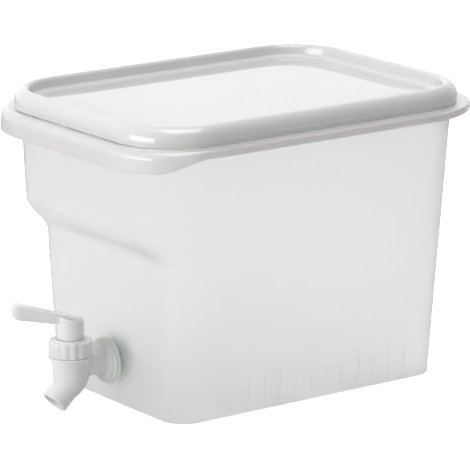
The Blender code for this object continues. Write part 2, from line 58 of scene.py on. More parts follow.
# %% Camera
view_turn = math.radians(54.082)
view_rise = math.radians(14.292)
view_roll = math.radians(-0.134)
view_distance = 2.40486
view_target = Vector((0, 0.0130, 0.09685))
sensor = 36.0
picture_width = 470
focal_pixels = 3605.85


def towards(turn, rise):
    """Direction from the dispenser to a viewer or a lamp; a turn of 0 is straight in front."""
    return Vector((math.sin(turn) * math.cos(rise), -math.cos(turn) * math.cos(rise), math.sin(rise)))


def linked(name, data):
    """New object, put into the scene."""
    made = bpy.data.objects.new(name, data)
    bpy.context.collection.objects.link(made)
    return made


camera = linked("camera", bpy.data.cameras.new("camera"))
camera.location = view_target + view_distance * towards(view_turn, view_rise)
camera.rotation_euler = towards(view_turn, view_rise).to_track_quat("Z", "Y").to_euler()
camera.rotation_euler.rotate_axis("Z", view_roll)
camera.data.sensor_width = sensor
camera.data.lens = focal_pixels / picture_width * sensor
bpy.context.scene.camera = camera
print("lens", round(camera.data.lens, 1), "mm at", round(view_distance, 3), "m")

# %% [markdown]
# ## Outlines
#
# Everything on the tub and the lid follows a rounded rectangle. One function walks round
# it and says, for each point, where it is and which way the edge faces there. A stack of
# such rings at rising heights is a loft, the way a drafted moulding is drawn. A bevelled
# box could give the same plan, but its corners couldn't change their radius from one height
# to the next, and nothing would say which way its edge faces.

# %% Steps and blends
Plan = namedtuple("Plan", "half_width front back front_corner back_corner")
corner_steps, end_steps, side_steps = 20, 12, 30
quarter = math.pi / 2


def mix(first, last, share):
    """Value that lies a share of the way from the first to the last."""
    return first + (last - first) * share


def ramp(share):
    """Ease from 0 to 1, level at both ends, for numbers and arrays."""
    share = np.clip(share, 0, 1)
    return share * share * (3 - 2 * share)


def arc(start, end, steps):
    """Angles from start to end, both included."""
    return [mix(start, end, step / steps) for step in range(steps + 1)]


print("half way along an ease:", float(ramp(0.5)))


# %% Rounded rectangles
def outline(plan, grow=0.0):
    """Rows of x, y and facing, anticlockwise from the middle of the right side."""
    half_width = plan.half_width + grow
    front, back = plan.front + grow, plan.back + grow
    near, far = plan.front_corner + grow, plan.back_corner + grow
    corners = ((half_width - far, back - far, far, end_steps),
               (far - half_width, back - far, far, side_steps),
               (near - half_width, near - front, near, end_steps),
               (half_width - near, near - front, near, side_steps))
    points = []
    for index, (x, y, radius, steps_after) in enumerate(corners):
        start = index * quarter
        facing = start + quarter
        for angle in arc(start, facing, corner_steps):
            points.append((x + radius * math.cos(angle), y + radius * math.sin(angle), angle))
        next_x, next_y, next_radius, _ = corners[(index + 1) % 4]
        target = (next_x + next_radius * math.cos(facing), next_y + next_radius * math.sin(facing))
        end = points[-1]
        for step in range(1, steps_after):
            share = step / steps_after
            points.append((mix(end[0], target[0], share), mix(end[1], target[1], share), facing))
    return np.array(points)


def ring(plan, grow, height):
    """Points of an outline at one height."""
    points = outline(plan, grow)
    points[:, 2] = height
    return points


print("points round an outline:", len(outline(Plan(1, 1, 1, 0.2, 0.2))))

# %% [markdown]
# ## From rings to solids
#
# A stack of rings becomes a mesh by joining each ring to the next. The ends are filled for
# a body, or the last ring meets the first for a hoop such as a washer. Edges sharper than
# about thirty degrees stay crisp and the rest is shaded smooth. A Screw modifier could turn
# the round pieces, but one function that takes rings serves the tub, the lid, the tap and
# the lever alike.

# %% Mesh makers
crisp = math.radians(32)
merge = 0.000001
axis_radius = 0.00002


def smooth(mesh):
    """Shade a mesh smooth, with crisp edges where its faces turn sharply."""
    mesh.shade_smooth()
    mesh.set_sharp_from_angle(angle=crisp)


def finished(name, mesh):
    """Object at the origin with normals outward, smooth faces and crisp edges."""
    work = bmesh.new()
    work.from_mesh(mesh)
    bmesh.ops.remove_doubles(work, verts=work.verts, dist=merge)
    bmesh.ops.recalc_face_normals(work, faces=work.faces)
    work.to_mesh(mesh)
    work.free()
    smooth(mesh)
    return linked(name, mesh)


def solid(name, rings, hoop=False):
    """Closed mesh skinned over a stack of rings, filled at its ends or joined end to end."""
    count = len(rings[0])
    levels = len(rings)
    faces = []
    for level in range(levels if hoop else levels - 1):
        low, high = level * count, (level + 1) % levels * count
        for index in range(count):
            after = (index + 1) % count
            faces.append((low + index, low + after, high + after, high + index))
    if not hoop:
        faces.append(tuple(range(count))[::-1])
        faces.append(tuple(range((levels - 1) * count, levels * count)))
    mesh = bpy.data.meshes.new(name)
    mesh.from_pydata([tuple(point) for point in np.concatenate(rings)], [], faces)
    return finished(name, mesh)


def turned(name, profile, place=Matrix.Identity(4), steps=96, hoop=False):
    """Turned solid from (radius, height) points, laid in place by a matrix."""
    rings = []
    for radius, height in profile:
        radius = max(radius, axis_radius)
        angles = np.linspace(0, 2 * math.pi, steps, endpoint=False)
        rings.append(np.array([place @ Vector((radius * math.cos(a), radius * math.sin(a), height))
                               for a in angles]))
    return solid(name, rings, hoop)


print("mesh makers ready, edges crisp from", round(math.degrees(crisp)), "degrees")


# %% Joints and cuts
def settled(target):
    """Work out an object's modifiers and keep the result as its own plain mesh."""
    mesh = bpy.data.meshes.new_from_object(target.evaluated_get(bpy.context.evaluated_depsgraph_get()))
    target.modifiers.clear()
    target.data = mesh
    smooth(mesh)
    return target


def combined(target, other, operation):
    """Join a second solid to the first, or cut it out of the first."""
    modifier = target.modifiers.new("combine", "BOOLEAN")
    modifier.operation = operation
    modifier.solver = "EXACT"
    modifier.object = other
    settled(target)
    bpy.data.objects.remove(other)
    return target


print("joints and cuts ready")

# %% [markdown]
# ## The tub's wall
#
# The wall leans outwards as it rises, so that the moulding leaves its tool. Half way up the
# front it steps forward to make room for the tap below, and the step fades out along both
# long sides. The step could be a block joined on, but then it would end with an edge. As a
# rule of height and distance it fades, and the same function gives the outside and, a
# wall's thickness in, the inside.

# %% Sizes of the wall
flange_top, flange_plate = 0.1870, 0.0022
foot_half_width, mouth_half_width = 0.0757, 0.0915
foot_front, waist_front, nose_front, mouth_front = 0.0879, 0.0909, 0.1079, 0.1112
foot_back, mouth_back = 0.1266, 0.1406
foot_corner, waist_corner, nose_corner = 0.0176, 0.0217, 0.0280
mouth_front_corner, mouth_back_corner = 0.0330, 0.0342
waist_height, nose_height = 0.1018, 0.1260
wall, floor_thickness, floor_fillet, foot_edge = 0.0022, 0.0030, 0.0060, 0.0005
swell_depth, swell_end, swell_band, swell_turn_share = 0.0026, -0.0100, 0.0030, 0.25
swell_start_height, swell_end_height = 0.1225, 0.1040
print("step rises", round(nose_height - waist_height, 4), "m")


# %% Wall at each height
def wall_plan(height):
    """Outer face of the tub's wall at one height."""
    share = height / flange_top
    if height < waist_height:
        rise = height / waist_height
        front, corner = mix(foot_front, waist_front, rise), mix(foot_corner, waist_corner, rise)
    elif height < nose_height:
        rise = float(ramp((height - waist_height) / (nose_height - waist_height)))
        front, corner = mix(waist_front, nose_front, rise), mix(waist_corner, nose_corner, rise)
    else:
        rise = (height - nose_height) / (flange_top - nose_height)
        front, corner = mix(nose_front, mouth_front, rise), mix(nose_corner, mouth_front_corner, rise)
    return Plan(mix(foot_half_width, mouth_half_width, share), front, mix(foot_back, mouth_back, share),
                corner, mix(foot_corner, mouth_back_corner, share))


def swell(y, height):
    """How far the long side stands out above the step's crease."""
    along = (y + nose_front) / (nose_front - swell_end)
    share = np.clip(along, 0, 1)
    turned_in = np.clip(along / swell_turn_share, 0, 1)
    line = mix(swell_start_height, swell_end_height, share)
    top = mix(nose_height, line + swell_band / 2, turned_in)
    band = mix(nose_height - waist_height, swell_band, turned_in)
    runout = 1 - ramp((height - nose_height) / (flange_top - flange_plate - nose_height))
    return swell_depth * (1 - ramp(along)) * ramp((height - top + band) / band) * runout


def wall_ring(height, inset=0.0):
    """Ring of the wall's outer face, or of its inner face, at one height."""
    points = outline(wall_plan(height), -inset)
    points[:, 0] += swell(points[:, 1], height) * np.cos(points[:, 2])
    points[:, 2] = height
    return points


print("wall at the mouth:", wall_plan(flange_top))

# %% [markdown]
# ## The rim and the hand grip
#
# A flat flange runs round the mouth, a fixed distance outside the lid's crest. Its lip is
# short on the sides and the back, and turns down as a deep skirt across the front, which is
# the grip that the dispenser is pulled out by. The grip could be a piece of its own, but the
# real one is part of the moulding and shows no seam. So the lip's depth depends only on
# which way the edge faces, and changes smoothly round each corner.

# %% Sizes of the rim
crest = Plan(0.0914, 0.1104, 0.1390, 0.0396, 0.0396)
rim_line = crest._replace(front_corner=0.0345, back_corner=0.0345)
flange_reach, flange_fillet, lip = 0.0160, 0.0015, 0.0020
side_lip_depth, rear_lip_depth, grip_depth, grip_flare = 0.0052, 0.0042, 0.0143, 0.0006
side_shoulder, grip_shoulder, least_fillet = 0.0015, 0.0060, 0.0003
rim_top, rim_half_thickness = 0.1956, 0.0010
grip_start_share, grip_full_share = 0.20, 0.77
lower_span, inner_span, step_span, upper_start = (0.06, 0.94, 8), (0.90, 0.13, 5), (0.97, 1.02), 1.06
step_rings, upper_rings, edge_steps, lip_steps, shoulder_steps = 45, 8, 4, 6, 10
print("grip hangs", round(grip_depth - side_lip_depth, 4), "m below the side lip")


# %% Rim by its facing
def grip_share(facing):
    """1 where the rim turns down as the hand grip, 0 along the sides and the back."""
    return ramp((-np.sin(facing) - grip_start_share) / (grip_full_share - grip_start_share))


def lip_bottom(facing):
    """Height that the lip comes down to."""
    depth = mix(side_lip_depth, rear_lip_depth, ramp(np.sin(facing)))
    return flange_top - mix(depth, grip_depth, grip_share(facing))


def shoulder(facing):
    """Radius that the flange turns down with."""
    return mix(side_shoulder, grip_shoulder, grip_share(facing))


def inner_shoulder(facing):
    """Radius of the same turn on the lip's inner face."""
    return np.maximum(shoulder(facing) - lip, least_fillet)


def lip_ring(reach, level):
    """Ring of the flange, with its reach and its level worked out for each facing."""
    inner, outer = outline(crest), outline(crest, flange_reach)
    facing = inner[:, 2]
    points = mix(inner, outer, (reach(facing) / flange_reach)[:, None])
    points[:, 2] = level(facing)
    return points


print("lip down to", np.round(lip_bottom(np.array([-quarter, 0, quarter])), 4), "front, side, back")


# %% Tub
def tub_rings():
    """Rings up the outside, over the rim and down the inside to the floor."""
    underside = flange_top - flange_plate
    rings = []
    for a in arc(0, quarter, edge_steps):
        rings.append(wall_ring(foot_edge * (1 - math.cos(a)), foot_edge * (1 - math.sin(a))))
    rings += [wall_ring(height) for height in np.linspace(*lower_span) * waist_height]
    nose = list(np.linspace(step_span[0] * waist_height, step_span[1] * nose_height, step_rings))
    upper = list(np.linspace(upper_start * nose_height, underside - 3 * flange_fillet, upper_rings))
    rings += [wall_ring(height) for height in nose + upper]
    for a in arc(0, quarter, edge_steps):
        rings.append(ring(wall_plan(flange_top), flange_fillet * (1 - math.cos(a)),
                          underside - flange_fillet * (1 - math.sin(a))))
    inside = flange_reach - lip
    for a in arc(quarter, 0, lip_steps):
        rings.append(lip_ring(lambda f: inside - inner_shoulder(f) * (1 - math.cos(a)),
                              lambda f: underside - inner_shoulder(f) * (1 - math.sin(a))))
    for share in (0.5, 1.0):
        rings.append(lip_ring(lambda f: inside + share * grip_flare * grip_share(f),
                              lambda f: mix(underside - inner_shoulder(f), lip_bottom(f) + lip / 4,
                                            share)))
    for a in arc(-quarter, quarter, lip_steps):
        rings.append(lip_ring(lambda f: inside + lip / 2 * (1 + math.sin(a)) + grip_flare * grip_share(f),
                              lambda f: lip_bottom(f) + lip / 4 * (1 - math.cos(a))))
    for a in arc(0, quarter, shoulder_steps):
        rings.append(lip_ring(lambda f: flange_reach - shoulder(f) * (1 - math.cos(a)),
                              lambda f: flange_top - shoulder(f) * (1 - math.sin(a))))
    rings.append(ring(rim_line, rim_half_thickness, flange_top))
    for a in arc(0, math.pi, lip_steps):
        rings.append(ring(rim_line, rim_half_thickness * math.cos(a),
                          rim_top - rim_half_thickness * (1 - math.sin(a))))
    rings.append(ring(rim_line, -rim_half_thickness, flange_top))
    rings += [wall_ring(height, wall) for height in reversed(upper[1:])]
    rings += [wall_ring(height, wall) for height in reversed(nose[::2])]
    rings += [wall_ring(height, wall) for height in np.linspace(*inner_span) * waist_height]
    for a in arc(0, quarter, lip_steps):
        rings.append(wall_ring(floor_thickness + floor_fillet * (1 - math.sin(a)),
                               wall + floor_fillet * (1 - math.cos(a))))
    return rings


tub = solid("tub", tub_rings())
print("tub faces:", len(tub.data.polygons))

# %% [markdown]
# ## The tap's seat in the wall
#
# The wall leans, but the tap's washers need flat, upright faces. The wall is thickened to a
# round pad on both sides and bored through for the tap's inlet, which is how such a seat is
# moulded. A Boolean suits this: the pad's edge falls where the leaning wall cuts it, and that
# curve would be hard to draw by hand.

# %% Tap pad and hole
spindle_front, inlet_height = 0.1192, 0.0281
pad_radius, pad_rise, pad_backing, pad_edge = 0.0172, 0.0009, 0.0010, 0.0004
seat, thread_radius, hole_clearance, overrun = 0.0003, 0.0080, 0.0003, 0.0020
pad_face = wall_plan(inlet_height).front + pad_rise
pad_inner_face = wall_plan(inlet_height).front - wall - pad_backing
pad_depth = pad_face - pad_inner_face


def facing_front(distance):
    """Place of a turned solid that starts this far in front and runs forward."""
    return Matrix.Translation((0, -distance, inlet_height)) @ Matrix.Rotation(quarter, 4, "X")


pad = turned("pad", [(0, 0), (pad_radius - pad_edge, 0), (pad_radius, pad_edge),
                     (pad_radius, pad_depth - pad_edge), (pad_radius - pad_edge, pad_depth),
                     (0, pad_depth)], facing_front(pad_inner_face))
tub = combined(tub, pad, "UNION")
hole_radius = thread_radius + hole_clearance
hole = turned("hole", [(0, -overrun), (hole_radius, -overrun), (hole_radius, pad_depth + overrun),
                       (0, pad_depth + overrun)], facing_front(pad_inner_face))
tub = combined(tub, hole, "DIFFERENCE")
print("tub faces with its pad:", len(tub.data.polygons))

# %% [markdown]
# ## Helpers for node trees
#
# Materials and Geometry Nodes are both graphs of small steps. One function adds any node
# and fills its sockets, and one small class lets sums of sockets be written as arithmetic,
# which keeps a long graph readable.

# %% Nodes
def add_node(tree, kind, settings=None, **sockets):
    """Add one node: its settings first, then the value or link of each named socket."""
    made = tree.nodes.new(kind)
    for name, value in (settings or {}).items():
        setattr(made, name, value)
    for name, value in sockets.items():
        socket = made.inputs[name.replace("_", " ")]
        value = value.socket if isinstance(value, Field) else value
        if isinstance(value, bpy.types.NodeSocket):
            tree.links.new(value, socket)
        else:
            socket.default_value = value
    return made


print("nodes can be added")


# %% Arithmetic on sockets
class Field:
    """A socket that can be added to, taken from and multiplied."""

    def __init__(self, socket):
        self.socket = socket

    def maths(self, operation, *terms):
        """Add a Math node for the terms, which are sockets or plain numbers."""
        tree = self.socket.id_data
        made = tree.nodes.new("ShaderNodeMath")
        made.operation = operation
        for place, term in enumerate(terms):
            if isinstance(term, Field):
                tree.links.new(term.socket, made.inputs[place])
            else:
                made.inputs[place].default_value = term
        return Field(made.outputs[0])

    def __add__(self, other):
        return self.maths("ADD", self, other)

    def __radd__(self, other):
        return self.maths("ADD", other, self)

    def __sub__(self, other):
        return self.maths("SUBTRACT", self, other)

    def __rsub__(self, other):
        return self.maths("SUBTRACT", other, self)

    def __mul__(self, other):
        return self.maths("MULTIPLY", self, other)

    def __rmul__(self, other):
        return self.maths("MULTIPLY", other, self)


print("sockets can be added, taken away and multiplied")

# %% Materials in the making
# A noise has its grain, and how much it adds to the roughness and to the relief.
Noise = namedtuple("Noise", "scale detail rough relief stretch", defaults=(0.0, 0.0, (1, 1, 1)))


class Finish:
    """A material in the making, with its shader and its coordinates in metres."""

    def __init__(self, name, **values):
        self.material = bpy.data.materials.new(name)
        self.material.use_nodes = True
        self.tree = self.material.node_tree
        self.shader = self.tree.nodes["Principled BSDF"]
        for key, value in values.items():
            self.shader.inputs[key.replace("_", " ")].default_value = value
        self.place = self.tree.nodes.new("ShaderNodeTexCoord").outputs["Object"]

    def feed(self, socket, name):
        """Link a socket to a named input of the shader."""
        self.tree.links.new(socket, self.shader.inputs[name])

    def field(self, noise):
        """Noise per metre of the object, from 0 to 1."""
        mapping = add_node(self.tree, "ShaderNodeMapping", Vector=self.place, Scale=noise.stretch)
        made = add_node(self.tree, "ShaderNodeTexNoise", Vector=mapping.outputs["Vector"],
                        Scale=noise.scale, Detail=noise.detail)
        return Field(made.outputs["Fac"])

    def vary(self, low, high, *noises, rough, depth):
        """Blend two near greys by the first noise, and add all to the roughness and the relief."""
        fields = [self.field(noise) for noise in noises]
        grey = add_node(self.tree, "ShaderNodeMix", {"data_type": "RGBA"})
        self.tree.links.new(fields[0].socket, grey.inputs[0])
        grey.inputs[6].default_value, grey.inputs[7].default_value = (*low, 1), (*high, 1)
        self.feed(grey.outputs[2], "Base Color")
        roughness = sum((noise.rough * field for noise, field in zip(noises, fields)), rough)
        self.feed(roughness.socket, "Roughness")
        height = sum(noise.relief * field for noise, field in zip(noises, fields))
        bump = add_node(self.tree, "ShaderNodeBump", Height=height, Distance=depth, Strength=1.0)
        self.feed(bump.outputs["Normal"], "Normal")


print("noise by default:", Noise(1.0, 1.0))

# %% [markdown]
# ## Finishes
#
# The tub is uncoloured polypropylene. Light goes through its matt wall but shapes behind it
# blur, so the wall is rough transmission with a little milky scatter and a fine grain. The
# rim is moulded thicker: it is polished and lets less light through, so there a second,
# denser shader is mixed in by the distance outside the crest's corner centres. A mix with a
# transparent shader would be quicker, but it would show sharp shapes through the wall. The
# lid is the same plastic with white pigment, opaque and glossy. The tap is a harder white
# plastic, its inner parts are uncoloured, and its seals are pale rubber. All are patterned in
# metres of the object, so the grain stays the same size on every piece.

# %% Frosted plastic of the tub
polish_start, polish_full, polish_weight = 0.165, 0.176, 0.9
frosted = Finish("frosted_plastic", Transmission_Weight=0.98, IOR=1.2, Specular_IOR_Level=0.5,
                 Coat_Roughness=0.05, Subsurface_Weight=1.0, Subsurface_Radius=(1, 1, 1),
                 Subsurface_Scale=0.006)
frosted.vary((0.968, 0.97, 0.97), (0.982, 0.982, 0.982),
             Noise(scale=38.0, detail=3.0, rough=0.08),
             Noise(scale=1900.0, detail=2.0, rough=0.06, relief=1.0),
             Noise(scale=24.0, detail=1.0, relief=3.0, stretch=(1, 1, 0.3)),
             rough=0.60, depth=0.000012)
spot = add_node(frosted.tree, "ShaderNodeSeparateXYZ", Vector=frosted.place).outputs
polish = add_node(frosted.tree, "ShaderNodeMapRange", Value=spot["Z"], From_Min=polish_start,
                  From_Max=polish_full, To_Max=polish_weight)
frosted.feed(polish.outputs["Result"], "Coat Weight")
print("polished from", polish_start, "to", polish_full, "m above the table")

# %% Denser plastic of the rim
rim_start, rim_full, rim_density, rim_grey = 0.0430, 0.0455, 0.6, 0.89
dense = add_node(frosted.tree, "ShaderNodeBsdfPrincipled", Roughness=0.35, IOR=1.49,
                 Coat_Weight=polish_weight, Coat_Roughness=0.05, Subsurface_Weight=0.3,
                 Subsurface_Scale=0.003, Base_Color=(rim_grey, rim_grey, rim_grey, 1))
across, along = Field(spot["X"]), Field(spot["Y"])
beside = across.maths("ABSOLUTE", across) - (crest.half_width - crest.front_corner)
beside = beside.maths("MAXIMUM", beside, 0.0)
before = -1.0 * along - (crest.front - crest.front_corner)
beyond = along.maths("MAXIMUM", before, along - (crest.back - crest.back_corner))
beyond = beyond.maths("MAXIMUM", beyond, 0.0)
outside = beside.maths("SQRT", beside * beside + beyond * beyond)
rim_share = add_node(frosted.tree, "ShaderNodeMapRange", Value=outside, From_Min=rim_start,
                     From_Max=rim_full, To_Max=rim_density)
both = add_node(frosted.tree, "ShaderNodeMixShader")
for place, made in enumerate((rim_share.outputs["Result"], frosted.shader.outputs["BSDF"],
                              dense.outputs["BSDF"])):
    frosted.tree.links.new(made, both.inputs[place])
surface = frosted.tree.nodes["Material Output"].inputs["Surface"]
frosted.tree.links.new(both.outputs["Shader"], surface)
print("denser from", rim_start, "m outside the crest's corner centres")

# %% White plastic of the lid
lid_white = Finish("lid_plastic", Coat_Weight=1.0, Coat_Roughness=0.03, Subsurface_Weight=0.2,
                   Subsurface_Radius=(1, 1, 1), Subsurface_Scale=0.002, IOR=1.49)
lid_white.vary((0.78, 0.78, 0.78), (0.80, 0.80, 0.80),
               Noise(scale=30.0, detail=3.0, rough=0.08),
               Noise(scale=2200.0, detail=2.0, rough=0.05, relief=1.0),
               Noise(scale=18.0, detail=1.0, relief=4.0),
               rough=0.34, depth=0.000010)
print("nodes in the lid's plastic:", len(lid_white.tree.nodes))

# %% Glossier plastic of the tap
tap_white = Finish("tap_plastic", Subsurface_Weight=0.4, Subsurface_Radius=(1, 1, 1),
                   Subsurface_Scale=0.002, IOR=1.53)
tap_white.vary((0.925, 0.925, 0.925), (0.95, 0.95, 0.95),
               Noise(scale=90.0, detail=2.0, rough=0.08),
               Noise(scale=240.0, detail=1.0, relief=1.0),
               Noise(scale=2600.0, detail=1.0, relief=0.3),
               rough=0.17, depth=0.000006)
print("nodes in the tap's plastic:", len(tap_white.tree.nodes))

# %% Uncoloured plastic and rubber of the small parts
natural = Finish("natural_plastic", Transmission_Weight=0.3, IOR=1.2, Subsurface_Weight=1.0,
                 Subsurface_Scale=0.006)
natural.vary((0.93, 0.93, 0.92), (0.95, 0.95, 0.94),
             Noise(scale=120.0, detail=2.0, rough=0.10),
             Noise(scale=1500.0, detail=1.0, relief=1.0),
             rough=0.40, depth=0.000008)
rubber = Finish("seal_rubber", IOR=1.45, Subsurface_Weight=0.8, Subsurface_Scale=0.003)
rubber.vary((0.93, 0.93, 0.92), (0.95, 0.95, 0.94),
            Noise(scale=200.0, detail=3.0, rough=0.14),
            Noise(scale=1800.0, detail=2.0, relief=1.0),
            rough=0.66, depth=0.000015)
finishes = (frosted, lid_white, tap_white, natural, rubber)
print("finishes:", [finish.material.name for finish in finishes])

# %% [markdown]
# ## Ribs at the foot
#
# Short upright ribs stiffen the foot of both long sides. Each starts at the table and sinks
# into the leaning wall as it rises. They repeat at one pitch, so Geometry Nodes place them:
# a line of points, one instance on each point, then real geometry with its finish. An Array
# modifier would repeat them too, but the tree names their number, start and pitch.

# %% One rib
rib_count, rib_pitch = 13, 0.01284
rib_foot, rib_crown, rib_height, rib_depth = 0.0024, 0.0009, 0.0360, 0.0008
rib_root, rib_sink = 0.0010, 0.0002
# Shares of the rib's height, and how far it stands out there as a share of its depth.
rib_levels = ((0, 0.1), (0.06, 0.35), (0.2, 0.7), (0.5, 0.75), (0.8, 0.4), (1, 0.0))


def one_rib(side):
    """A single rib about its own foot, leaning with the wall and fading out at its top."""
    rings = []
    lean = wall_plan(rib_height).half_width - foot_half_width
    for share, fullness in rib_levels:
        stand = mix(-rib_sink, rib_depth, fullness)
        points = []
        for angle in arc(-quarter, quarter, 10):
            across = mix(rib_foot, rib_crown, math.cos(angle)) / 2 * math.sin(angle)
            out = lean * share + mix(-rib_root, stand, math.cos(angle))
            points.append((side * out, across, seat + foot_edge + rib_height * share))
        rings.append(np.array(points))
    return solid("rib", rings)


print("one rib every", rib_pitch, "m, fading out at", rib_height, "m")


# %% Trees with named inputs
def geometry_tree(name, kinds):
    """Geometry Nodes tree with named inputs, and the sockets that bring them in."""
    tree = bpy.data.node_groups.new(name, "GeometryNodeTree")
    tree.interface.new_socket("Geometry", in_out="OUTPUT", socket_type="NodeSocketGeometry")
    for label, kind in kinds:
        tree.interface.new_socket(label, in_out="INPUT", socket_type="NodeSocket" + kind)
    return tree, tree.nodes.new("NodeGroupInput").outputs


def ended(tree, geometry, finish):
    """Make a tree's geometry real, give it its finish and send it out."""
    real = add_node(tree, "GeometryNodeRealizeInstances", Geometry=geometry)
    done = add_node(tree, "GeometryNodeSetMaterial", Geometry=real.outputs["Geometry"],
                    Material=finish)
    add_node(tree, "NodeGroupOutput", Geometry=done.outputs["Geometry"])
    return tree


def grown(carrier, tree, values):
    """Run a tree with named inputs on an object and keep the result as a plain mesh."""
    modifier = carrier.modifiers.new("grow", "NODES")
    modifier.node_group = tree
    for item in tree.interface.items_tree:
        if item.name in values and item.in_out == "INPUT":
            modifier[item.identifier] = values[item.name]
    return settled(carrier)


print("trees can be grown")


# %% Rib rows
def rib_tree():
    """Tree that stands one rib at every point of a line."""
    tree, given = geometry_tree("rib_row", (("Rib", "Object"), ("Count", "Int"), ("Start", "Vector"),
                                            ("Pitch", "Vector"), ("Finish", "Material")))
    line = add_node(tree, "GeometryNodeMeshLine", {"mode": "OFFSET"}, Count=given["Count"],
                    Start_Location=given["Start"], Offset=given["Pitch"])
    rib = add_node(tree, "GeometryNodeObjectInfo", {"transform_space": "ORIGINAL"}, Object=given["Rib"])
    row = add_node(tree, "GeometryNodeInstanceOnPoints", Points=line.outputs["Mesh"],
                   Instance=rib.outputs["Geometry"])
    return ended(tree, row.outputs["Instances"], given["Finish"])


def rib_row(name, side):
    """Row of ribs along one long side, centred between the tub's ends."""
    rib = one_rib(side)
    first = (foot_back - foot_front - rib_pitch * (rib_count - 1)) / 2
    row = linked(name, bpy.data.meshes.new(name))
    grown(row, rib_tree(), {"Rib": rib, "Count": rib_count, "Start": (side * foot_half_width, first, 0),
                            "Pitch": (0, rib_pitch, 0), "Finish": frosted.material})
    bpy.data.objects.remove(rib)
    return row


ribs_right, ribs_left = rib_row("ribs_right", 1), rib_row("ribs_left", -1)
print("rib faces:", len(ribs_right.data.polygons), len(ribs_left.data.polygons))

# %% [markdown]
# ## The lid
#
# The lid is an upside-down channel that snaps over the rim, with a sunken panel inside it.
# Its section is drawn once, as distances out from the crest line, and carried round the
# outline. The panel rises very slightly to its middle, where the plastic was let in. A
# curve swept round the crest would give the channel, but not the panel in one piece with it.

# %% Lid section
lid_wall, lid_overhang, lid_top, lid_edge, lid_recess = 0.0018, 0.0076, 0.2000, 0.0003, 0.0004
shoulder_height, crest_roll, well_depth, well_batter = 0.0100, 0.0026, 0.0066, 0.0012
ledge_width, ledge_fillet, moat_slope_width, moat_depth = 0.0020, 0.0006, 0.0022, 0.0010
moat_width, panel_edge, panel_rise, panel_crown = 0.0060, 0.0018, 0.0005, 0.0006
locator_depth, locator_gap, gate_radius, gate_height = 0.0120, 0.0006, 0.0024, 0.0001
crown_shares, roll_steps, ease_steps = (0.25, 0.5, 0.75, 1), 8, 6


def lid_section():
    """Lid's underside and top as (growth from the crest line, height), and the panel's level."""
    bottom = flange_top + seat
    spring = lid_top - shoulder_height
    floor = lid_top - well_depth
    well_foot = -crest_roll - well_batter
    moat_edge = well_foot - ledge_fillet - ledge_width
    moat_foot = moat_edge - moat_slope_width
    moat_end = moat_foot - moat_width
    panel_start = moat_end - panel_edge
    moat = floor - moat_depth
    panel = moat + panel_rise
    locator = -rim_half_thickness - locator_gap
    inner = lid_overhang - lid_wall
    under = [(panel_start, panel - lid_wall), (moat_end, moat - lid_wall), (moat_foot, moat - lid_wall),
             (moat_edge, floor - lid_wall), (locator - lid_wall, floor - lid_wall),
             (locator - lid_wall, lid_top - locator_depth), (locator, lid_top - locator_depth),
             (locator, lid_top - lid_wall - crest_roll)]
    under += [(inner * math.cos(a), spring - lid_wall + shoulder_height * math.sin(a))
              for a in arc(quarter, 0, roll_steps)]
    under += [(inner, bottom + lid_edge), (inner + lid_edge, bottom)]
    skirt = lid_overhang - lid_recess
    over = [(skirt - lid_edge, bottom), (skirt, bottom + lid_edge), (skirt, spring - lid_recess)]
    over += [(lid_overhang * math.cos(a), spring + shoulder_height * math.sin(a))
             for a in arc(0, quarter, 2 * roll_steps)]
    over += [(-crest_roll * math.sin(a), lid_top - crest_roll * (1 - math.cos(a)))
             for a in arc(0, quarter, roll_steps)[1:]]
    over += [(well_foot - ledge_fillet * (1 - math.cos(a)), floor + ledge_fillet * (1 - math.sin(a)))
             for a in arc(0, quarter, 4)]
    over += [(mix(moat_edge, moat_foot, s), mix(floor, moat, ramp(s)))
             for s in np.linspace(0, 1, ease_steps)]
    over += [(mix(moat_end, panel_start, s), mix(moat, panel, ramp(s)))
             for s in np.linspace(0, 1, ease_steps - 1)]
    return under, over, panel


print("panel's edge at", round(lid_section()[2], 4), "m")


# %% Lid
def gate_ring(radius, height):
    """Small circle at the panel's middle with one point for each point of the outline."""
    points = outline(crest)
    centre = (crest.back - crest.front) / 2
    angle = np.arctan2(points[:, 1] - centre, points[:, 0])
    return np.column_stack((radius * np.cos(angle), centre + radius * np.sin(angle),
                            np.full(len(angle), height)))


def make_lid():
    """Lid from the middle of its underside, out round its channel and in to the gate mark."""
    under, over, panel = lid_section()
    crowned = panel + panel_crown
    rings = [gate_ring(gate_radius, crowned - lid_wall)]
    rings += [ring(crest, grow, height) for grow, height in under + over]
    edge, gate = ring(crest, over[-1][0], panel), gate_ring(gate_radius, crowned)
    for share in crown_shares:
        points = mix(edge, gate, share)
        points[:, 2] = mix(panel, crowned, 1 - (1 - share) ** 2)
        rings.append(points)
    rings.append(gate_ring(gate_radius, crowned + gate_height))
    return solid("lid_shell", rings)


lid_shell = make_lid()
print("lid faces:", len(lid_shell.data.polygons))

# %% [markdown]
# ## The tap's body
#
# The tap is moulded in one piece with its threaded inlet, a round barrel and a spout that
# leans forward. Rings that turn with the bend keep the tube round all the way down. A curve
# with a round bevel could draw it too, but the tube narrows as it bends, and a ring simply
# has its own radius. The inlet and the flange are joined on, and the bores are cut out.

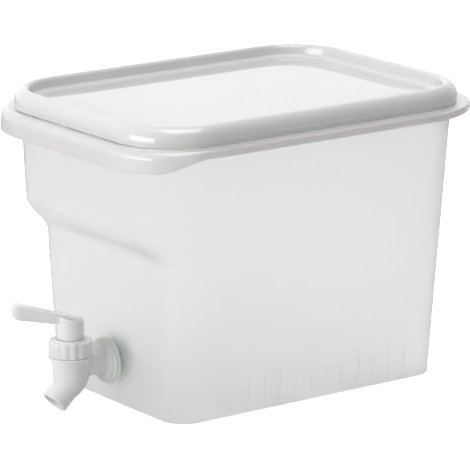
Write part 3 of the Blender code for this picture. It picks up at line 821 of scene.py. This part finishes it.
# %% Sizes of the tap
inlet_radius, inlet_bore, tail_reach, rim_edge = 0.0081, 0.0050, 0.0030, 0.0003
flange_radius, flange_rim = 0.0150, 0.0013
flange_step_radius, flange_step, flange_cone = 0.0128, 0.0020, 0.0012
washer_radius, washer_thickness, inner_washer_thickness, nut_height = 0.0156, 0.0022, 0.0020, 0.0060
barrel_radius, barrel_foot_radius, barrel_foot = 0.0124, 0.0116, -0.0073
spout_radius, spout_bore, spout_tilt, spout_run = 0.0091, 0.0068, math.radians(47), 0.0113
spout_edge, spout_lip = 0.0008, 0.0008
ring_radius, ring_bottom, ring_thickness, neck_radius, neck_top = 0.0145, 0.0067, 0.0015, 0.0126, 0.0148
chamber_radius, chamber_floor = 0.00875, -0.0079
tap_flange_back = pad_face + washer_thickness + 2 * seat
tail_end = pad_inner_face - inner_washer_thickness - 2 * seat - nut_height - tail_reach
inlet_length = spindle_front - tail_end
round_steps, bend_steps = 72, 12
print("inlet from the spindle to its tail:", round(inlet_length, 4), "m")


# %% Tap path and inlet
def tap_ring(y, z, radius, tilt=0.0):
    """Ring about the tap's path, placed from the spindle and the inlet's height."""
    angle = np.linspace(0, 2 * math.pi, round_steps, endpoint=False)
    across = radius * np.sin(angle)
    return np.column_stack((radius * np.cos(angle), y - spindle_front + across * math.cos(tilt),
                            z + inlet_height - across * math.sin(tilt)))


def bend(share):
    """Centre and lean of the tube at a share of its bend."""
    tilt = spout_tilt * share
    reach = mix(barrel_foot_radius, spout_radius, share)
    return reach * math.cos(tilt) - barrel_foot_radius, barrel_foot - reach * math.sin(tilt), tilt


def inlet_profile():
    """Threaded tail, flange, step and cone up to the barrel, from the tail's end."""
    back = tap_flange_back - tail_end
    front, step = back + flange_rim, back + flange_rim + flange_step
    profile = [(0, 0), (thread_radius - rim_edge, 0), (thread_radius, rim_edge), (thread_radius, back),
               (flange_radius - rim_edge, back), (flange_radius, back + rim_edge),
               (flange_radius, front - rim_edge), (flange_radius - rim_edge, front),
               (flange_step_radius, front), (flange_step_radius, step - rim_edge)]
    profile += [(mix(flange_step_radius - rim_edge, inlet_radius, math.sin(a)),
                 mix(step, step + flange_cone, 1 - math.cos(a))) for a in arc(0, quarter, 8)]
    return profile + [(inlet_radius, inlet_length), (0, inlet_length)]


print("spout leans", round(math.degrees(bend(1)[2])), "degrees")


# %% Tap body
def make_tap_body():
    """Tap from the spout's mouth up to its neck, with its inlet, its chamber and its bores."""
    end_y, end_z, tilt = bend(1)
    forward, down = math.sin(tilt), math.cos(tilt)
    mouth_y, mouth_z = end_y - spout_run * forward, end_z - spout_run * down

    def mouth_ring(lift, radius):
        """Ring across the spout, so far up from its mouth."""
        return tap_ring(mouth_y + lift * forward, mouth_z + lift * down, radius, tilt)

    bends = [bend(share) for share in arc(1, 0, bend_steps)]
    rings = [mouth_ring(spout_edge * math.sin(a), spout_radius - spout_edge * math.cos(a))
             for a in arc(0, quarter, 6)]
    for share, (y, z, lean) in zip(arc(1, 0, bend_steps), bends):
        rings.append(tap_ring(y, z, mix(barrel_foot_radius, spout_radius, share), lean))
    ring_top = ring_bottom + ring_thickness
    for radius, height in ((barrel_radius, ring_bottom), (ring_radius - rim_edge, ring_bottom),
                           (ring_radius, ring_bottom + rim_edge), (ring_radius, ring_top - rim_edge),
                           (ring_radius - rim_edge, ring_top), (neck_radius, ring_top),
                           (neck_radius, neck_top)):
        rings.append(tap_ring(0, height, radius))
    body = solid("tap_shell", rings)
    inlet = turned("inlet", inlet_profile(), facing_front(tail_end), round_steps)
    body = combined(body, inlet, "UNION")
    bore = [mouth_ring(-overrun, spout_bore + spout_lip)]
    bore += [mouth_ring(spout_lip * (1 - math.cos(a)), spout_bore + spout_lip * (1 - math.sin(a)))
             for a in arc(0, quarter, 5)]
    bore += [tap_ring(y, z, spout_bore, lean) for y, z, lean in bends]
    bore.append(tap_ring(0, ring_bottom, spout_bore))
    body = combined(body, solid("bore", bore), "DIFFERENCE")
    chamber = [tap_ring(0, height, chamber_radius) for height in (chamber_floor, neck_top + overrun)]
    body = combined(body, solid("chamber", chamber), "DIFFERENCE")
    way = [(0, -overrun), (inlet_bore, -overrun), (inlet_bore, inlet_length), (0, inlet_length)]
    return combined(body, turned("way", way, facing_front(tail_end), round_steps), "DIFFERENCE")


tap_shell = make_tap_body()
print("tap body faces:", len(tap_shell.data.polygons))

# %% [markdown]
# ## The collar nut
#
# A nut screws down over the tap's neck and keeps the plug in. Shallow flutes round it give
# the fingers a hold. They could be cut one by one with cylinders, but they follow a rule, so
# Geometry Nodes draw them: each point's angle round the nut says how near it is to a flute's
# middle, and that says how far it moves in. The cut faces stay evenly shaded that way.

# %% Plain collar
collar_radius, collar_bottom, collar_top, collar_plate = 0.01445, 0.0085, 0.0189, 0.0017
collar_chamfer, collar_ring_radius, collar_ring_height = 0.0013, 0.0113, 0.0008
flute_count, flute_depth, flute_half_width, stem_radius = 15, 0.0006, 0.0021, 0.0070
collar_steps, whole_turns, outer_share = 16 * flute_count, 1000.0, 0.96
on_spindle = Matrix.Translation((0, -spindle_front, inlet_height))


def plain_collar():
    """Turned nut without its flutes, on the spindle."""
    inner, opening, top = neck_radius + seat, stem_radius + seat, collar_top + collar_ring_height
    chamfer = collar_radius - collar_chamfer
    profile = [(inner, collar_bottom), (collar_radius - rim_edge, collar_bottom)]
    profile += [(collar_radius, height) for height in np.linspace(collar_bottom + rim_edge,
                                                                  collar_top - collar_chamfer, 6)]
    profile += [(chamfer + collar_chamfer * math.cos(a),
                 collar_top - collar_chamfer * (1 - math.sin(a))) for a in arc(0, quarter, 6)[1:]]
    profile += [(collar_ring_radius, collar_top), (collar_ring_radius, top - rim_edge),
                (collar_ring_radius - rim_edge, top), (opening, top),
                (opening, collar_top - collar_plate), (inner, collar_top - collar_plate)]
    return turned("collar_nut", profile, on_spindle, collar_steps, hoop=True)


print("points round the collar:", collar_steps, "for", flute_count, "flutes")


# %% Flutes
def flute_tree():
    """Tree that draws flutes into the outer face of a nut standing about an upright axis."""
    names = ("Axis Y", "Radius", "Count", "Half Width", "Depth")
    tree, given = geometry_tree("flutes", (("Geometry", "Geometry"), ("Finish", "Material"),
                                           *((name, "Float") for name in names)))
    value = {name: Field(given[name]) for name in names}
    position = tree.nodes.new("GeometryNodeInputPosition").outputs[0]
    place = add_node(tree, "ShaderNodeSeparateXYZ", Vector=position)
    x, y = Field(place.outputs["X"]), Field(place.outputs["Y"]) - value["Axis Y"]
    angle = x.maths("ARCTAN2", y, x)
    turn = angle * value["Count"] * (1 / (2 * math.pi)) + whole_turns
    apart = (turn.maths("FRACT", turn) - 0.5) * (2 * math.pi) * value["Radius"]
    from_middle = apart.maths("DIVIDE", apart, value["Half Width"] * value["Count"])
    dip = from_middle.maths("MAXIMUM", 1 - from_middle * from_middle, 0.0)
    distance = x.maths("SQRT", x * x + y * y)
    outer = distance.maths("GREATER_THAN", distance, value["Radius"] * outer_share)
    inward = dip * outer * value["Depth"] * -1.0
    moved = add_node(tree, "ShaderNodeCombineXYZ", X=inward * x.maths("COSINE", angle),
                     Y=inward * x.maths("SINE", angle))
    shaped = add_node(tree, "GeometryNodeSetPosition", Geometry=given["Geometry"],
                      Offset=moved.outputs["Vector"])
    return ended(tree, shaped.outputs["Geometry"], given["Finish"])


collar_nut = grown(plain_collar(), flute_tree(), {
    "Axis Y": -spindle_front, "Radius": collar_radius, "Count": float(flute_count),
    "Half Width": flute_half_width, "Depth": flute_depth, "Finish": tap_white.material})
print("collar faces:", len(collar_nut.data.polygons))

# %% [markdown]
# ## The lever
#
# The lever turns the plug a quarter turn. It is a short round hub with a flat arm that
# rises and deepens towards its tip. A bevelled box would do for a plain arm, but this one
# changes its height along the way and rounds off at its tip, so it is a stack of rings too.
# At rest it stands turned to one side, so its points are drawn straight ahead and then
# turned about the spindle.

# %% Sizes of the lever
lever_turn = math.radians(26)
hub_radius, hub_height, hub_edge = 0.00895, 0.0135, 0.0008
lever_reach, lever_heel, lever_width, lever_edge = 0.0381, 0.0083, 0.0097, 0.0012
lever_root_height, lever_tip_height, lever_stand, lever_rise = 0.0059, 0.0107, 0.0014, 0.0105
lever_tip_run, lever_tip_round, tongue, tongue_height = 0.0048, 0.0026, 0.0070, 0.0080
arm_start, arm_rings, tip_turn, tip_power, tip_steps = 0.05, 12, 0.94, 0.8, 12
hub_bottom = collar_top + collar_ring_height + seat
hub_top = hub_bottom + hub_height
lever_place = on_spindle @ Matrix.Rotation(-lever_turn, 4, "Z")
print("hub from", round(hub_bottom, 4), "to", round(hub_top, 4), "m above the inlet's axis")


# %% Rings of the arm
def placed(points, place):
    """Points moved by a matrix."""
    return np.array([place @ Vector(point) for point in points])


def box_points(width, height, edge, middle, steps=6):
    """Rounded rectangle across the lever as (x, z), about a middle height."""
    points = []
    for index, (side_x, side_z) in enumerate(((1, -1), (1, 1), (-1, 1), (-1, -1))):
        start = (index - 1) * quarter
        for angle in arc(start, start + quarter, steps):
            points.append((side_x * (width / 2 - edge) + edge * math.cos(angle),
                           middle + side_z * (height / 2 - edge) + edge * math.sin(angle)))
    return points


def lever_ring(reach, width, flatten=0.0):
    """Ring of the arm at one distance from the spindle; flatten draws its height in."""
    along = reach / lever_reach
    height = mix(lever_root_height, lever_tip_height, max(along, 0))
    top = hub_top + lever_stand + lever_rise * along
    edge = min(lever_edge, width / 4)
    points = box_points(width, height - 2 * flatten, edge, top - height / 2)
    return placed([(x, -reach, z) for x, z in points], lever_place)


print("arm reaches", lever_reach, "m in front of the spindle")


# %% Lever
def make_lever():
    """Hub and arm joined, with the socket for the plug's square tongue cut out."""
    profile = [(0, hub_bottom), (hub_radius - rim_edge, hub_bottom),
               (hub_radius, hub_bottom + rim_edge)]
    profile += [(hub_radius - hub_edge * (1 - math.cos(a)), hub_top - hub_edge * (1 - math.sin(a)))
                for a in arc(0, quarter, 6)]
    profile.append((0, hub_top))
    lever = turned("lever_arm", profile)
    for vertex in lever.data.vertices:
        if vertex.co.z > hub_bottom + hub_edge:
            vertex.co.z -= vertex.co.y * lever_rise / lever_reach
    lever.data.transform(lever_place)

    straight = lever_reach - lever_tip_run
    heel = lever_edge - lever_heel
    rings = [lever_ring(heel - lever_edge * math.sin(a), lever_width - lever_edge * (1 - math.cos(a)))
             for a in arc(quarter, 0, 5)]
    rings += [lever_ring(straight * share, lever_width)
              for share in np.linspace(arm_start, 1, arm_rings)]
    for a in arc(0, tip_turn * quarter, tip_steps)[1:]:
        rings.append(lever_ring(straight + lever_tip_run * math.sin(a),
                                lever_width * math.cos(a) ** tip_power,
                                lever_tip_round * (1 - math.cos(a))))
    lever = combined(lever, solid("arm", rings), "UNION")
    half = tongue / 2 + seat
    square = ((-half, -half), (half, -half), (half, half), (-half, half))
    socket = [placed([(x, y, height) for x, y in square], lever_place)
              for height in (hub_bottom - overrun, hub_bottom + tongue_height)]
    return combined(lever, solid("socket", socket), "DIFFERENCE")


lever_arm = make_lever()
print("lever faces:", len(lever_arm.data.polygons))

# %% [markdown]
# ## The outer washer
#
# A soft washer seals the tap's flange against the pad. Its rim is slightly rounded, because
# a squeezed washer bulges. A torus would be too round for it and a plain tube too sharp, so
# its section is drawn and turned.

# %% Washer
washer_bulge = 0.0005


def make_washer():
    """Flat ring with a bulging rim, lying against the pad."""
    inner = washer_radius - washer_bulge
    profile = [(hole_radius, 0), (inner, 0)]
    profile += [(inner + washer_bulge * math.cos(a), washer_thickness / 2 * (1 + math.sin(a)))
                for a in arc(-quarter, quarter, 8)[1:-1]]
    profile += [(inner, washer_thickness), (hole_radius, washer_thickness)]
    return turned("washer_ring", profile, facing_front(pad_face + seat), hoop=True)


washer_ring = make_washer()
print("washer faces:", len(washer_ring.data.polygons))

# %% [markdown]
# ## Hand each piece to its body
#
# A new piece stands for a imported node, takes that node's finish and rides on the same body,
# so that the lid still lifts and the lever still turns. The tap's inner parts keep their
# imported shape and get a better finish.

# %% Pieces and bodies
rows = ((tub, "base", "frosted_plastic", frosted, "container"),
        (ribs_right, "base", "frosted_plastic", frosted, "container"),
        (ribs_left, "base", "frosted_plastic", frosted, "container"),
        (lid_shell, "lid", "lid_plastic", lid_white, "lid"),
        (tap_shell, "base", "tap_plastic", tap_white, "tap_body"),
        (collar_nut, "base", "tap_plastic", tap_white, "tap_collar"),
        (lever_arm, "lever", "tap_plastic", tap_white, "tap_lever"),
        (washer_ring, "base", "seal_rubber", rubber, "outer_washer"))
for made, body, slot, finish, node in rows:
    made.data.materials.clear()
    made.data.materials.append(finish.material)
    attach(made, body)
    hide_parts(node)
for node, finish in (("tap_plug", natural), ("plug_seal", rubber), ("inner_washer", rubber),
                     ("lock_nut", natural)):
    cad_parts[node].material_slots[0].material = finish.material
print("pieces:", [row[0].name for row in rows])

# %% [markdown]
# ## Floor and surroundings
#
# The dispenser stands in a white room. The floor is a pale matt sheet that still takes a
# soft shadow where the tub meets it. A room as bright as it looks would wash out every
# shape, so the light depends on the ray. A camera ray sees white, and so nearly does a ray
# that goes through the frosted wall or is mirrored. The light that falls on the plastic is
# much weaker, and it leans: the room is darker on the side of the long right wall.

# %% Floor
floor_half, floor_drop = 4.0, 0.0002
floor_colour, floor_glow, floor_glow_seen_through = 0.70, 0.85, 0.39


def seen(tree, direct, through):
    """Strength for camera rays, and another for glossy and transmitted rays."""
    path = tree.nodes.new("ShaderNodeLightPath").outputs
    mirrored = Field(path["Is Glossy Ray"])
    either = mirrored.maths("MAXIMUM", mirrored, Field(path["Is Transmission Ray"]))
    return Field(path["Is Camera Ray"]) * direct + either * through


def make_floor():
    """Wide sheet just under the tub's foot, which is there for the picture only."""
    mesh = bpy.data.meshes.new("floor")
    corners = [(x * floor_half, y * floor_half, -floor_drop)
               for x, y in ((-1, -1), (1, -1), (1, 1), (-1, 1))]
    mesh.from_pydata(corners, [], [(0, 1, 2, 3)])
    floor = linked("floor", mesh)
    pale = Finish("floor", Roughness=1.0, Specular_IOR_Level=0.0, Emission_Color=(1, 1, 1, 1),
                  Base_Color=(floor_colour, floor_colour, floor_colour, 1))
    glow = seen(pale.tree, floor_glow, floor_glow_seen_through)
    pale.feed(glow.socket, "Emission Strength")
    mesh.materials.append(pale.material)


make_floor()
print("floor", 2 * floor_half, "m wide")

# %% World
world_light, world_lean, world_seen, world_seen_through = 0.23, 0.80, 1.0, 0.73


def make_world():
    """White room whose light on the plastic is weaker than what the camera sees."""
    world = bpy.data.worlds.new("room")
    world.use_nodes = True
    tree = world.node_tree
    background = tree.nodes["Background"]
    background.inputs["Color"].default_value = (1, 1, 1, 1)
    generated = tree.nodes.new("ShaderNodeTexCoord").outputs["Generated"]
    direction = add_node(tree, "ShaderNodeSeparateXYZ", Vector=generated)
    side = 1.0 + Field(direction.outputs["X"]) * -world_lean
    strength = side * (world_light + seen(tree, 0.0, world_seen_through - world_light))
    strength = strength + seen(tree, 1.0, 0.0) * (world_seen + side * -world_light)
    tree.links.new(strength.socket, background.inputs["Strength"])
    bpy.context.scene.world = world


make_world()
bpy.context.scene.view_settings.view_transform = "Standard"
print("world ready")

# %% [markdown]
# ## Lamps
#
# One wide, low soft lamp stands square in front, so the front is the lightest upright face
# and the corner below the lid takes two small crisp highlights. A second soft lamp hangs
# above, a little to the right, and lights the lid's panel and the crest of its long side.

# %% Lamps
def lamp(name, turn, rise, distance, width, height, power):
    """Soft lamp that looks at the dispenser from a direction."""
    data = bpy.data.lights.new(name, "AREA")
    data.shape = "RECTANGLE"
    data.size, data.size_y = width, height
    data.energy = power
    made = linked(name, data)
    direction = towards(math.radians(turn), math.radians(rise))
    made.location = view_target + distance * direction
    made.rotation_euler = direction.to_track_quat("Z", "Y").to_euler()


lamp("key", turn=3, rise=11, distance=1.8, width=1.3, height=0.7, power=14)
lamp("top", turn=72, rise=76, distance=1.6, width=1.1, height=1.1, power=14)
print("lamps ready")
